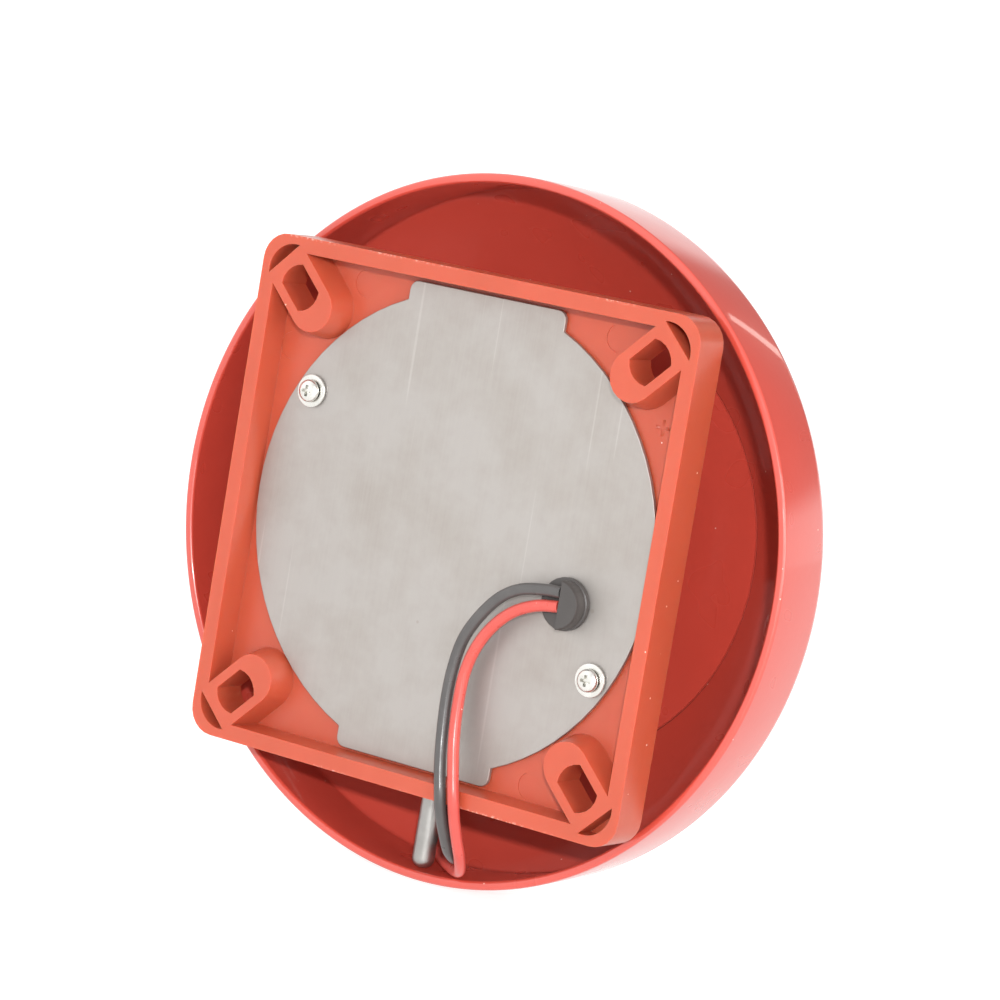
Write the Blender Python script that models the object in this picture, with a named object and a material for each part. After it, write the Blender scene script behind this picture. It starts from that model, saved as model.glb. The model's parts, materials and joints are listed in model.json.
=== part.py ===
"""Motorised fire alarm bell: a dished steel gong in front of a square moulded back box.

Metres, +Z up. The bell's axis runs along Y and the gong faces -Y. The origin is the centre
of the back box's rear rim, the plane that lies on the wall. The striker runs down, along -Z.
Lengths below are in millimetres and are scaled once, where a mesh is made.
"""

import math

import bmesh
import bpy
from mathutils import Matrix, Vector

MM = 0.001

# Back box
TRAY_HALF = 54.4
TRAY_DEPTH = 9.3
TRAY_CORNER = 5.8
RIM_WIDTH = 3.4
FLOOR_REAR = -6.3
FLOOR_THICK = 2.3
BOSS_DIAGONAL = 61.8
BOSS_HALF_WIDTH = 5.3
BOSS_DRAFT = 1.5
SLOT_HALF_LENGTH = 4.9
SLOT_HALF_WIDTH = 3.3
POCKET_RADIUS = 6.0
POCKET_DEPTH = 5.3

# Chamber behind the plate
CHAMBER_RADIUS = 41.0
CHAMBER_NOSE_RADIUS = 33.5
CHAMBER_STEP = -27.0
CHAMBER_FRONT = -40.0
CHAMBER_WALL = 2.3
POST_FRONT = -45.8
POST_RADIUS = 6.4
NUT_BOSS_REAR = -30.6

# Back plate and its fasteners
PLATE_REAR = -5.0
PLATE_THICK = 1.0
PLATE_RADIUS = 49.7
TAB_HALF_WIDTH = 19.45
TAB_REACH = 49.9
TAB_CORNER = 2.0
SCREW_X = 39.75
SCREW_Z = 22.4
GLAND_X = -31.2
GLAND_Z = -8.4

# Gong
GONG_RADIUS = 75.0
GONG_RIM = -13.0
GONG_WALL = 2.0
SKIRT_LENGTH = 15.5
SHOULDER_RADIUS = 4.0
CROWN_RADIUS = 50.3
GONG_DEPTH = 36.3
GONG_BORE = 2.9

# Drive
MOTOR_Z = -19.3
MOTOR_RADIUS = 10.5
MOTOR_REAR = -20.8
MOTOR_FRONT = -34.8
CAM_RADIUS = 4.4
CAM_THROW = 1.5
STRIKER_Y = -16.0
STRIKER_RADIUS = 2.4
STRIKER_TIP = -72.5
YOKE_LASH = 0.45
BUSH_TOP = -40.0
BUSH_LENGTH = 8.0
BOARD_FRONT = -17.6
BOARD_THICK = 1.6
BRACKET_X = 21.0
BRACKET_Z = -12.0
BOARD_POST_X = 19.0
BOARD_POST_Z = 14.0

GAP = 0.3
FINE = 48
ROUND = 24
SMALL = 16
LEAD_DIAMETER = 2.5
LEAD_STEP = 4.2
GONG_STEPS = 64

# Where each lead runs: out of the strain relief, over the lower rim and back into the gong
LEAD_BLACK_ROUTE = [
    (-31.2, -1.9, -5.95), (-27.6, -1.7, -6.15), (-22.1, -1.4, -7.2), (-17.7, -1.1, -9.7),
    (-13.7, -1.0, -14.2), (-10.5, -1.0, -19.8), (-9.15, -0.9, -26.0), (-9.0, -0.5, -33.0),
    (-9.9, 0.2, -41.0), (-11.3, 1.2, -47.0), (-12.7, 1.7, -52.4), (-13.0, 0.6, -56.6),
    (-12.9, -2.3, -61.3), (-12.6, -5.4, -65.0), (-11.3, -10.2, -67.3), (-6.8, -16.2, -67.3),
    (-1.8, -21.4, -65.8), (2.2, -25.2, -62.6), (5.0, -29.2, -59.8), (8.2, -33.6, -58.2),
    (12.5, -37.8, -56.6), (18.0, -40.6, -53.6), (24.5, -41.8, -49.8), (31.0, -42.1, -45.2),
    (36.2, -42.0, -40.8),
]
LEAD_RED_ROUTE = [
    (-31.2, -1.9, -8.9), (-26.0, -1.6, -9.8), (-21.0, -1.2, -12.2), (-17.0, -1.0, -16.0),
    (-13.9, -1.0, -20.9), (-12.1, -0.9, -27.0), (-12.1, -0.4, -34.4), (-13.0, 0.3, -41.0),
    (-14.6, 1.2, -47.0), (-16.0, 1.7, -52.2), (-16.3, 0.5, -56.6), (-16.2, -2.1, -61.5),
    (-15.7, -5.2, -65.9), (-13.2, -9.8, -69.5), (-7.6, -15.5, -70.7), (-0.9, -21.3, -70.3),
    (5.0, -26.2, -67.4), (9.2, -30.6, -63.8), (13.6, -34.4, -60.6), (19.4, -37.0, -57.2),
    (26.0, -38.2, -53.2), (32.6, -38.7, -48.8), (38.0, -38.8, -44.6),
]
INNER_BLACK_ROUTE = [
    (-31.0, -9.0, -7.1), (-30.6, -11.0, -5.0), (-28.2, -12.2, 3.0), (-23.6, -12.0, 10.4),
    (-19.0, -12.0, 12.5), (-16.4, -12.0, 12.6),
]
INNER_RED_ROUTE = [
    (-31.0, -9.0, -9.9), (-29.4, -11.6, -9.2), (-25.0, -13.0, -3.0), (-21.4, -12.6, 4.0),
    (-18.6, -12.0, 7.2), (-16.4, -12.0, 7.6),
]
MOTOR_WIRE_ROUTE = [
    (15.9, -35.8, -18.6), (16.4, -34.6, -13.0), (15.8, -30.0, -6.0), (14.0, -24.0, 1.0),
    (12.0, -20.4, 6.2), (11.4, -18.1, 7.0),
]


def clear_scene():
    for obj in list(bpy.data.objects):
        bpy.data.objects.remove(obj, do_unlink=True)


def make_material(name, color, metallic, roughness):
    material = bpy.data.materials.new(name)
    material.use_nodes = True
    shader = material.node_tree.nodes["Principled BSDF"]
    shader.inputs["Base Color"].default_value = (*color, 1.0)
    shader.inputs["Metallic"].default_value = metallic
    shader.inputs["Roughness"].default_value = roughness
    material.diffuse_color = (*color, 1.0)
    return material


def make_materials():
    recipes = {
        "gong_paint": ((0.62, 0.045, 0.03), 0.0, 0.25),
        "red_abs": ((0.72, 0.10, 0.055), 0.0, 0.42),
        "plate_steel": ((0.55, 0.53, 0.50), 1.0, 0.45),
        "zinc_steel": ((0.68, 0.68, 0.66), 1.0, 0.28),
        "black_nylon": ((0.025, 0.024, 0.024), 0.0, 0.40),
        "black_pvc": ((0.022, 0.022, 0.023), 0.0, 0.35),
        "red_pvc": ((0.70, 0.05, 0.045), 0.0, 0.35),
        "tinned_copper": ((0.72, 0.70, 0.66), 1.0, 0.35),
        "striker_steel": ((0.66, 0.65, 0.63), 1.0, 0.22),
        "white_nylon": ((0.80, 0.78, 0.72), 0.0, 0.45),
        "brass": ((0.72, 0.50, 0.20), 1.0, 0.30),
        "rubber": ((0.03, 0.03, 0.03), 0.0, 0.75),
        "board_laminate": ((0.05, 0.22, 0.10), 0.0, 0.40),
        "component_blue": ((0.05, 0.16, 0.45), 0.0, 0.35),
        "winding_copper": ((0.55, 0.22, 0.08), 1.0, 0.35),
        "ferrite": ((0.06, 0.06, 0.065), 0.0, 0.60),
    }
    return {name: make_material(name, *recipe) for name, recipe in recipes.items()}


def build_object(name, bm, material=None):
    """Scales a millimetre mesh to metres, faces it outwards and puts it in the scene."""
    bmesh.ops.remove_doubles(bm, verts=bm.verts, dist=1e-5)
    bmesh.ops.recalc_face_normals(bm, faces=bm.faces)
    bmesh.ops.scale(bm, vec=(MM, MM, MM), verts=bm.verts)
    mesh = bpy.data.meshes.new(name)
    bm.to_mesh(mesh)
    bm.free()
    obj = bpy.data.objects.new(name, mesh)
    if material is not None:
        mesh.materials.append(material)
    bpy.context.scene.collection.objects.link(obj)
    return obj


def axis_matrix(axis):
    """Turns +Z onto the named axis."""
    return Vector((0, 0, 1)).rotation_difference(Vector(axis)).to_matrix().to_4x4()


def add_revolved(bm, profile, axis, centre, steps, closed):
    """Turns (radius, height) points about the axis; a closed profile makes a ring."""
    place = Matrix.Translation(centre) @ axis_matrix(axis)
    rings = []
    for radius, height in profile:
        count = steps if radius > 1e-6 else 1
        angles = [2 * math.pi * i / steps for i in range(count)]
        points = [(radius * math.cos(a), radius * math.sin(a), height) for a in angles]
        rings.append([bm.verts.new(place @ Vector(p)) for p in points])
    pairs = list(zip(rings, rings[1:]))
    if closed:
        pairs.append((rings[-1], rings[0]))
    for lower, upper in pairs:
        for i in range(steps):
            j = (i + 1) % steps
            corners = [lower[i % len(lower)], lower[j % len(lower)],
                       upper[j % len(upper)], upper[i % len(upper)]]
            distinct = list(dict.fromkeys(corners))
            if len(distinct) > 2:
                bm.faces.new(distinct)


def revolved(name, profile, material=None, axis=(0, 1, 0), centre=(0, 0, 0), steps=ROUND, ring=False):
    bm = bmesh.new()
    add_revolved(bm, profile, axis, centre, steps, ring)
    return build_object(name, bm, material)


def rod(name, radius, low, high, material=None, axis=(0, 1, 0), centre=(0, 0, 0), steps=ROUND, edge=0.0):
    """A solid cylinder from low to high along its axis, with its edges chamfered by edge."""
    if edge:
        profile = [(0, low), (radius - edge, low), (radius, low + edge),
                   (radius, high - edge), (radius - edge, high), (0, high)]
    else:
        profile = [(0, low), (radius, low), (radius, high), (0, high)]
    return revolved(name, profile, material, axis, centre, steps)


def washer(name, inner, outer, low, high, material, axis=(0, 1, 0), centre=(0, 0, 0), steps=ROUND):
    profile = [(inner, low), (outer, low), (outer, high), (inner, high)]
    return revolved(name, profile, material, axis, centre, steps, ring=True)


def lofted(name, sections, material=None):
    """Joins outlines of equal point count, each a list of (x, y, z), and caps both ends."""
    bm = bmesh.new()
    rings = [[bm.verts.new(point) for point in section] for section in sections]
    bm.faces.new(rings[0])
    bm.faces.new(rings[-1])
    for lower, upper in zip(rings, rings[1:]):
        for i in range(len(lower)):
            j = (i + 1) % len(lower)
            bm.faces.new((lower[i], lower[j], upper[j], upper[i]))
    return build_object(name, bm, material)


def slab(name, outline, front, rear, material=None):
    """Extrudes an (x, z) outline along Y."""
    sections = [[(x, y, z) for x, z in outline] for y in (front, rear)]
    return lofted(name, sections, material)


def block(name, low, high, material=None):
    (x0, y0, z0), (x1, y1, z1) = low, high
    return slab(name, [(x0, z0), (x1, z0), (x1, z1), (x0, z1)], y0, y1, material)


def arc(centre, radius, start, end, steps):
    """Points on an arc between two angles in degrees, both ends included."""
    angles = [math.radians(start + (end - start) * i / steps) for i in range(steps + 1)]
    return [(centre[0] + radius * math.cos(a), centre[1] + radius * math.sin(a)) for a in angles]


def rounded_rectangle(half_x, half_z, radius, steps=6, centre=(0, 0)):
    points = []
    for quarter, (sx, sz) in enumerate(((1, 1), (-1, 1), (-1, -1), (1, -1))):
        middle = (centre[0] + sx * (half_x - radius), centre[1] + sz * (half_z - radius))
        points += arc(middle, radius, 90 * quarter, 90 * quarter + 90, steps)
    return points


def polygon(count, across_flats, centre=(0, 0)):
    radius = across_flats / 2 / math.cos(math.pi / count)
    return arc(centre, radius, 180 / count, 180 / count + 360 * (count - 1) / count, count - 1)


def along_diagonal(points, quarter):
    """Maps (outward, across) on the upper right diagonal to (x, z) in the given corner."""
    turn = math.radians(45 + 90 * quarter)
    out = []
    for along, across in points:
        out.append((along * math.cos(turn) - across * math.sin(turn),
                    along * math.sin(turn) + across * math.cos(turn)))
    return out


def add_boolean(target, helper, operation):
    helper.hide_render = True
    helper.display_type = "WIRE"
    modifier = target.modifiers.new(helper.name, "BOOLEAN")
    modifier.operation = operation
    modifier.solver = "EXACT"
    modifier.object = helper


def merged(name, helpers):
    """One helper made of several that don't touch each other, so that one Boolean takes them all."""
    bm = bmesh.new()
    for helper in helpers:
        bm.from_mesh(helper.data)
        bpy.data.objects.remove(helper, do_unlink=True)
    bmesh.ops.scale(bm, vec=(1 / MM, 1 / MM, 1 / MM), verts=bm.verts)
    return build_object(name, bm)


def cut(target, helper):
    add_boolean(target, helper, "DIFFERENCE")


def join(target, helper):
    add_boolean(target, helper, "UNION")


def finish_round(obj, degrees=35):
    for polygon_face in obj.data.polygons:
        polygon_face.use_smooth = True
    obj.data.set_sharp_from_angle(angle=math.radians(degrees))
    return obj


# Gong


def crown_arc(start, end, leave_angle, steps):
    """Points on the arc from start to end that leaves start at an angle off the axis."""
    run = Vector(end) - Vector(start)
    chord_angle = math.atan2(-run.x, -run.y)
    turn = 2 * (chord_angle - leave_angle)
    radius = run.length / (2 * math.sin(turn / 2))
    points = []
    for i in range(1, steps + 1):
        bend = turn * i / steps
        length = 2 * radius * math.sin(bend / 2)
        heading = leave_angle + bend / 2
        points.append((start[0] - length * math.sin(heading), start[1] - length * math.cos(heading)))
    return points


def gong_skin(offset):
    """Half of the gong's section, offset inwards, from the rim to the flat crown."""
    rim = GONG_RADIUS - offset
    shoulder = (GONG_RADIUS - 0.3 - SHOULDER_RADIUS, GONG_RIM - SKIRT_LENGTH)
    points = [(rim, GONG_RIM - 0.4)]
    points += arc(shoulder, SHOULDER_RADIUS - offset, 0, -40, 3)
    crown = (CROWN_RADIUS - 0.4 * offset, GONG_RIM - GONG_DEPTH + offset)
    points += crown_arc(points[-1], crown, math.radians(40), 5)
    return points


def make_gong(materials):
    outer = gong_skin(0.0)
    inner = gong_skin(GONG_WALL)
    crown_outer = (GONG_BORE, GONG_RIM - GONG_DEPTH)
    crown_inner = (GONG_BORE, GONG_RIM - GONG_DEPTH + GONG_WALL)
    rim = [(GONG_RADIUS - GONG_WALL + 0.4, GONG_RIM), (GONG_RADIUS - 0.4, GONG_RIM)]
    profile = rim + outer + [crown_outer, crown_inner] + inner[::-1]
    gong = revolved("gong", profile, materials["gong_paint"], steps=GONG_STEPS, ring=True)
    return finish_round(gong, 15)


def make_gong_fixing(materials):
    face = GONG_RIM - GONG_DEPTH
    inside = face + GONG_WALL
    washer("gong_pad_rear", 2.9, 7.5, inside + GAP, POST_FRONT - GAP, materials["rubber"])
    washer("gong_pad_front", 2.9, 9.0, face - 1.3, face - GAP, materials["rubber"])
    washer("gong_washer", 2.9, 8.0, face - 2.8, face - 1.6, materials["zinc_steel"])
    head_low = face - 6.6
    head = slab("gong_bolt", polygon(6, 8.0), head_low, face - 3.1, materials["zinc_steel"])
    join(head, rod("bolt_shank", 2.5, head_low + 1, -31.0))
    nut = slab("gong_nut", polygon(6, 7.6), -35.2, -31.4, materials["zinc_steel"])
    cut(nut, rod("nut_bore", 2.8, -37, -29))


# Back box


def boss_outline(grow):
    """The boss's outline along the diagonal: a flat outer end and a round inner end."""
    half = BOSS_HALF_WIDTH + grow
    centre = BOSS_DIAGONAL - 10.3 + BOSS_HALF_WIDTH
    flat = BOSS_DIAGONAL + 7.5
    return [(flat, -half), (flat, half)] + arc((centre, 0), half, 90, 270, 10)


def make_boss(quarter):
    sections = []
    for depth, grow in ((FLOOR_REAR - 1.0, BOSS_DRAFT), (0.0, 0.0)):
        outline = along_diagonal(boss_outline(grow), quarter)
        sections.append([(x, depth, z) for x, z in outline])
    return lofted(f"boss_{quarter}", sections)


def make_boss_slot(quarter):
    rise = math.degrees(math.asin(SLOT_HALF_WIDTH / SLOT_HALF_LENGTH))
    outline = arc((BOSS_DIAGONAL, 0), SLOT_HALF_LENGTH, -rise, rise, 5)
    outline += arc((BOSS_DIAGONAL, 0), SLOT_HALF_LENGTH, 180 - rise, 180 + rise, 5)
    return slab(f"slot_{quarter}", along_diagonal(outline, quarter), -12, 1)


def make_corner_pocket(quarter):
    """The sickle-shaped recess between the boss's flat end and the rim's corner."""
    middle = BOSS_DIAGONAL + 4.0
    reach = math.degrees(math.acos((BOSS_DIAGONAL + 7.5 - middle) / POCKET_RADIUS))
    outline = arc((middle, 0), POCKET_RADIUS, -reach, reach, 10)
    return slab(f"pocket_{quarter}", along_diagonal(outline, quarter), -POCKET_DEPTH, 1)


def add_chamber(box):
    profile = [(0, FLOOR_REAR - 1), (CHAMBER_RADIUS, FLOOR_REAR - 1), (CHAMBER_RADIUS, CHAMBER_STEP),
               (CHAMBER_NOSE_RADIUS + 1, CHAMBER_STEP - 3), (CHAMBER_NOSE_RADIUS, CHAMBER_FRONT + 2),
               (CHAMBER_NOSE_RADIUS - 2, CHAMBER_FRONT), (POST_RADIUS, CHAMBER_FRONT),
               (POST_RADIUS, POST_FRONT), (0, POST_FRONT)]
    join(box, revolved("chamber_outside", profile, steps=FINE))
    rear = CHAMBER_RADIUS - CHAMBER_WALL
    nose = CHAMBER_NOSE_RADIUS - CHAMBER_WALL
    join(box, rod("guide_boss", POST_RADIUS, BUSH_TOP - 9.5, -35, axis=(0, 0, 1),
                  centre=(0, STRIKER_Y, 0), steps=32))
    inside = CHAMBER_FRONT + CHAMBER_WALL
    hollow = [(0, 1), (rear, 1), (rear, CHAMBER_STEP + 1), (nose + 1, CHAMBER_STEP - 2), (nose, inside),
              (POST_RADIUS, inside), (POST_RADIUS, NUT_BOSS_REAR), (0, NUT_BOSS_REAR)]
    cut(box, revolved("chamber_inside", hollow, steps=FINE))


def post_places():
    """(name, x, z) of the posts that take a screw, on both sides of the box."""
    for side in (1, -1):
        yield f"plate_{side}", side * SCREW_X, side * SCREW_Z
        yield f"bracket_{side}", side * BRACKET_X, BRACKET_Z
        yield f"board_{side}", side * BOARD_POST_X, BOARD_POST_Z


def make_posts():
    """Screw posts and the motor's cradle, which stand on the chamber's front wall or the floor."""
    base = CHAMBER_FRONT + 1.0
    ends = {"plate": (3.6, -15.0, FLOOR_REAR - 1), "bracket": (3.0, base, MOTOR_REAR),
            "board": (2.8, base, BOARD_FRONT - GAP)}
    posts = []
    for name, x, z in post_places():
        radius, low, high = ends[name.split("_")[0]]
        posts.append(rod(f"post_{name}", radius, low, high, centre=(x, 0, z)))
    posts.append(washer("motor_cradle", MOTOR_RADIUS + GAP, MOTOR_RADIUS + 1.7, base, -31.5, None,
                        centre=(0, 0, MOTOR_Z), steps=32))
    return merged("posts", posts)


def make_pilots():
    """Blind screw holes in the posts, and the gaps in the cradle for the motor's terminals."""
    ends = {"plate": (1.75, -14.2), "bracket": (1.3, MOTOR_REAR - 8), "board": (1.3, BOARD_FRONT - 10)}
    pilots = []
    for name, x, z in post_places():
        radius, low = ends[name.split("_")[0]]
        pilots.append(rod(f"pilot_{name}", radius, low, 1, centre=(x, 0, z), steps=SMALL))
    for side in (1, -1):
        inner, outer = sorted((side * 9.0, side * 14.0))
        pilots.append(block(f"terminal_gap_{side}", (inner, CHAMBER_FRONT + CHAMBER_WALL + 0.2, MOTOR_Z - 2.2),
                            (outer, -31, MOTOR_Z + 2.2)))
    return merged("pilots", pilots)


def make_centre_bores():
    """The gong bolt's stepped hole and the striker's stepped hole, each turned from one profile."""
    nut_radius = 4.6
    bolt = [(0, POST_FRONT - 2), (2.8, POST_FRONT - 2), (2.8, -35.6), (nut_radius, -35.6),
            (nut_radius, -25), (0, -25)]
    low = BUSH_TOP - BUSH_LENGTH - GAP
    striker = [(0, low - 4), (2.8, low - 4), (2.8, low), (4.6, low), (4.6, -30), (0, -30)]
    return merged("centre_bores", [
        revolved("bolt_bore", bolt, steps=SMALL),
        revolved("striker_bore", striker, axis=(0, 0, 1), centre=(0, STRIKER_Y, 0), steps=32)])


def make_back_box(materials):
    box = slab("back_box", rounded_rectangle(TRAY_HALF, TRAY_HALF, TRAY_CORNER), -TRAY_DEPTH, 0,
               materials["red_abs"])
    inner = TRAY_HALF - RIM_WIDTH
    rear_outline = [(x, 1.0, z) for x, z in rounded_rectangle(inner + 0.1, inner + 0.1, 6.0)]
    floor_outline = [(x, FLOOR_REAR, z) for x, z in rounded_rectangle(inner - 0.5, inner - 0.5, 6.0)]
    cut(box, lofted("rear_recess", [floor_outline, rear_outline]))
    cut(box, slab("front_recess", rounded_rectangle(inner, inner, 4.0), -12, FLOOR_REAR - FLOOR_THICK))
    join(box, merged("bosses", [make_boss(quarter) for quarter in range(4)]))
    add_chamber(box)
    join(box, make_posts())
    corners = [shape(quarter) for quarter in range(4) for shape in (make_corner_pocket, make_boss_slot)]
    cut(box, merged("corner_cuts", corners))
    cut(box, make_pilots())
    cut(box, make_centre_bores())
    return box


# Back plate, its fasteners and the strain relief


def plate_outline():
    """A disc with a square tab above and below."""
    corner = math.degrees(math.acos(TAB_HALF_WIDTH / PLATE_RADIUS))
    right = arc((0, 0), PLATE_RADIUS, -corner, corner, 28)
    left = arc((0, 0), PLATE_RADIUS, 180 - corner, 180 + corner, 28)
    centre_x, centre_z = TAB_HALF_WIDTH - TAB_CORNER, TAB_REACH - TAB_CORNER
    top = arc((centre_x, centre_z), TAB_CORNER, 0, 90, 4) + arc((-centre_x, centre_z), TAB_CORNER, 90, 180, 4)
    bottom = [(-x, -z) for x, z in top]
    return right + top + left + bottom


def make_back_plate(materials):
    plate = slab("back_plate", plate_outline(), PLATE_REAR - PLATE_THICK, PLATE_REAR,
                 materials["plate_steel"])
    for side in (1, -1):
        centre = (side * SCREW_X, 0, side * SCREW_Z)
        cut(plate, rod(f"plate_hole_{side}", 1.8, -9, 0, centre=centre, steps=SMALL))
    cut(plate, rod("gland_hole", 4.1, -9, 0, centre=(GLAND_X, 0, GLAND_Z)))
    return plate


def pan_screw(name, radius, head_radius, seat, tip, centre, material):
    """A pan-head screw along Y with a cross recess; seat is the underside of its head."""
    height = head_radius * 0.55
    profile = [(0, tip), (radius * 0.4, tip), (radius, tip + 1.2), (radius, seat), (head_radius, seat),
               (head_radius, seat + height * 0.4), (head_radius * 0.86, seat + height * 0.75),
               (head_radius * 0.58, seat + height), (0, seat + height)]
    screw = revolved(name, profile, material, centre=centre, steps=SMALL)
    low, high = seat + height * 0.35, seat + height + 1
    for arm, (half_x, half_z) in enumerate(((0.66, 0.17), (0.17, 0.66))):
        x, z = head_radius * half_x, head_radius * half_z
        recess = block(f"{name}_recess_{arm}", (centre[0] - x, low, centre[2] - z),
                       (centre[0] + x, high, centre[2] + z))
        cut(screw, recess)
    return screw


def make_plate_fasteners(materials):
    for letter, side in (("a", 1), ("b", -1)):
        centre = (side * SCREW_X, 0, side * SCREW_Z)
        washer(f"plate_washer_{letter}", 1.75, 3.5, PLATE_REAR + GAP, PLATE_REAR + 0.8,
               materials["zinc_steel"], centre=centre)
        pan_screw(f"plate_screw_{letter}", 1.45, 2.4, PLATE_REAR + 1.1, -13.0, centre,
                  materials["zinc_steel"])


def make_strain_relief(materials):
    """A round flange with a raised half that the leads leave sideways, necked through the plate."""
    centre = (GLAND_X, 0, GLAND_Z)
    inside = PLATE_REAR - PLATE_THICK - GAP
    profile = [(0, -8.6), (3.8, -8.6), (4.5, -7.6), (4.5, inside), (3.8, inside),
               (3.8, PLATE_REAR + GAP), (5.5, PLATE_REAR + GAP), (5.5, -3.6), (5.2, -3.4), (0, -3.4)]
    relief = revolved("strain_relief", profile, materials["black_nylon"], centre=centre)
    half = arc((0, 0), 5.2, 97, 263, 14)
    top = [(x * 0.94, z * 0.94) for x, z in half]
    sections = [[(GLAND_X + x, y, GLAND_Z + z) for x, z in outline]
                for y, outline in ((-4.0, half), (-0.9, half), (-0.4, top))]
    join(relief, lofted("relief_block", sections))
    cut(relief, rod("wire_way_black", 1.37, -9.5, -6, centre=(GLAND_X + 0.2, 0, -7.0), steps=SMALL))
    cut(relief, rod("wire_way_red", 1.37, -9.5, -6, centre=(GLAND_X + 0.2, 0, -9.9), steps=SMALL))
    return relief


# Leads


def smooth_route(route, step):
    """A Catmull-Rom curve through the route points, sampled at even steps of length."""
    points = [Vector(point) for point in route]
    points = [2 * points[0] - points[1]] + points + [2 * points[-1] - points[-2]]
    fine = []
    for p0, p1, p2, p3 in zip(points, points[1:], points[2:], points[3:]):
        for i in range(20):
            t = i / 20
            fine.append(0.5 * (2 * p1 + (p2 - p0) * t + (2 * p0 - 5 * p1 + 4 * p2 - p3) * t ** 2
                               + (3 * p1 - p0 - 3 * p2 + p3) * t ** 3))
    fine.append(points[-2])
    lengths = [0.0]
    for a, b in zip(fine, fine[1:]):
        lengths.append(lengths[-1] + (b - a).length)
    count = max(2, round(lengths[-1] / step))
    picked = [fine[0]]
    for i in range(1, count):
        target = lengths[-1] * i / count
        k = next(k for k, length in enumerate(lengths) if length >= target)
        share = (target - lengths[k - 1]) / (lengths[k] - lengths[k - 1])
        picked.append(fine[k - 1].lerp(fine[k], share))
    return picked + [fine[-1]]


def wire(name, points, diameter, material, resolution=2):
    """A round wire through the points, closed at both ends."""
    curve = bpy.data.curves.new(name, "CURVE")
    curve.dimensions = "3D"
    curve.bevel_depth = diameter / 2 * MM
    curve.bevel_resolution = resolution
    curve.use_fill_caps = True
    spline = curve.splines.new("POLY")
    spline.points.add(len(points) - 1)
    for target, point in zip(spline.points, points):
        target.co = (*(point * MM), 1.0)
    curve.materials.append(material)
    obj = bpy.data.objects.new(name, curve)
    bpy.context.scene.collection.objects.link(obj)
    return obj


def tube(name, route, diameter, material, step):
    return wire(name, smooth_route(route, step), diameter, material)


def make_tip(name, route, material):
    """The stripped and tinned end of a lead, in line with the lead's last stretch."""
    end = Vector(route[-1])
    heading = (end - Vector(route[-2])).normalized()
    stripped = [tuple(end + heading * GAP), tuple(end + heading * 3.0), tuple(end + heading * 6.0)]
    return tube(name, stripped, 1.2, material, 3.0)


def make_leads(materials):
    tube("lead_black", LEAD_BLACK_ROUTE, LEAD_DIAMETER, materials["black_pvc"], LEAD_STEP)
    tube("lead_red", LEAD_RED_ROUTE, LEAD_DIAMETER, materials["red_pvc"], LEAD_STEP)
    make_tip("lead_tip_black", LEAD_BLACK_ROUTE, materials["tinned_copper"])
    make_tip("lead_tip_red", LEAD_RED_ROUTE, materials["tinned_copper"])
    tube("inner_lead_black", INNER_BLACK_ROUTE, LEAD_DIAMETER, materials["black_pvc"], 3.2)
    tube("inner_lead_red", INNER_RED_ROUTE, LEAD_DIAMETER, materials["red_pvc"], 3.2)
    left = [(-x, y, z) for x, y, z in MOTOR_WIRE_ROUTE]
    tube("motor_wire_red", MOTOR_WIRE_ROUTE, 1.4, materials["red_pvc"], 3.2)
    tube("motor_wire_black", left, 1.4, materials["black_pvc"], 3.2)


# Motor and striker


def make_motor(materials):
    centre = (0, 0, MOTOR_Z)
    wall = 0.8
    hollow = MOTOR_RADIUS - wall
    can = [(1.8, MOTOR_REAR), (MOTOR_RADIUS - 0.6, MOTOR_REAR), (MOTOR_RADIUS, MOTOR_REAR - 0.6),
           (MOTOR_RADIUS, MOTOR_FRONT), (hollow, MOTOR_FRONT), (hollow, MOTOR_REAR - wall),
           (1.8, MOTOR_REAR - wall)]
    revolved("motor_can", can, materials["zinc_steel"], centre=centre, steps=32, ring=True)
    cap_rear = MOTOR_FRONT - GAP
    cap = rod("motor_end_cap", MOTOR_RADIUS, cap_rear - 2.0, cap_rear, materials["black_nylon"],
              centre=centre, steps=32, edge=0.4)
    cut(cap, rod("cap_bearing_seat", 1.3, cap_rear - 1.2, cap_rear + 1, centre=centre, steps=32))
    for letter, side in (("a", 1), ("b", -1)):
        inner, outer = sorted((side * 8.0, side * 14.8))
        cut(cap, block(f"terminal_slot_{letter}", (inner - 0.3, cap_rear - 1.2, MOTOR_Z - 1.5),
                       (outer + 0.3, cap_rear - 0.1, MOTOR_Z + 1.5)))
        block(f"motor_terminal_{letter}", (inner, cap_rear - 0.9, MOTOR_Z - 1.2),
              (outer, cap_rear - 0.4, MOTOR_Z + 1.2), materials["brass"])
    bearing = {"material": materials["brass"], "centre": centre, "steps": 32}
    washer("motor_bearing", 1.1, 1.5, MOTOR_REAR - wall - 1.0, MOTOR_REAR + 0.6, **bearing)
    for letter, start in (("a", 20), ("b", 200)):
        outer = arc((0, MOTOR_Z), hollow - GAP, start, start + 140, 12)
        inner = arc((0, MOTOR_Z), hollow - GAP - 1.6, start + 140, start, 12)
        slab(f"motor_magnet_{letter}", outer + inner, MOTOR_FRONT + 1.4, MOTOR_REAR - wall - 1.2,
             materials["ferrite"])


def make_rotor(materials):
    centre = (0, 0, MOTOR_Z)
    rod("motor_shaft", 1.0, MOTOR_FRONT - 1.2, -11.3, materials["striker_steel"], centre=centre, steps=32,
        edge=0.2)
    outline = []
    for pole in range(3):
        middle = 90 + 120 * pole
        outline += arc((0, MOTOR_Z), 7.4, middle - 50, middle + 50, 10)
        outline += arc((0, MOTOR_Z), 5.0, middle + 54, middle + 66, 2)
    armature = slab("motor_armature", outline, MOTOR_FRONT + 1.8, MOTOR_REAR - 2.6,
                    materials["winding_copper"])
    cut(armature, rod("armature_bore", 1.3, -40, -10, centre=centre, steps=32))


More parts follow.
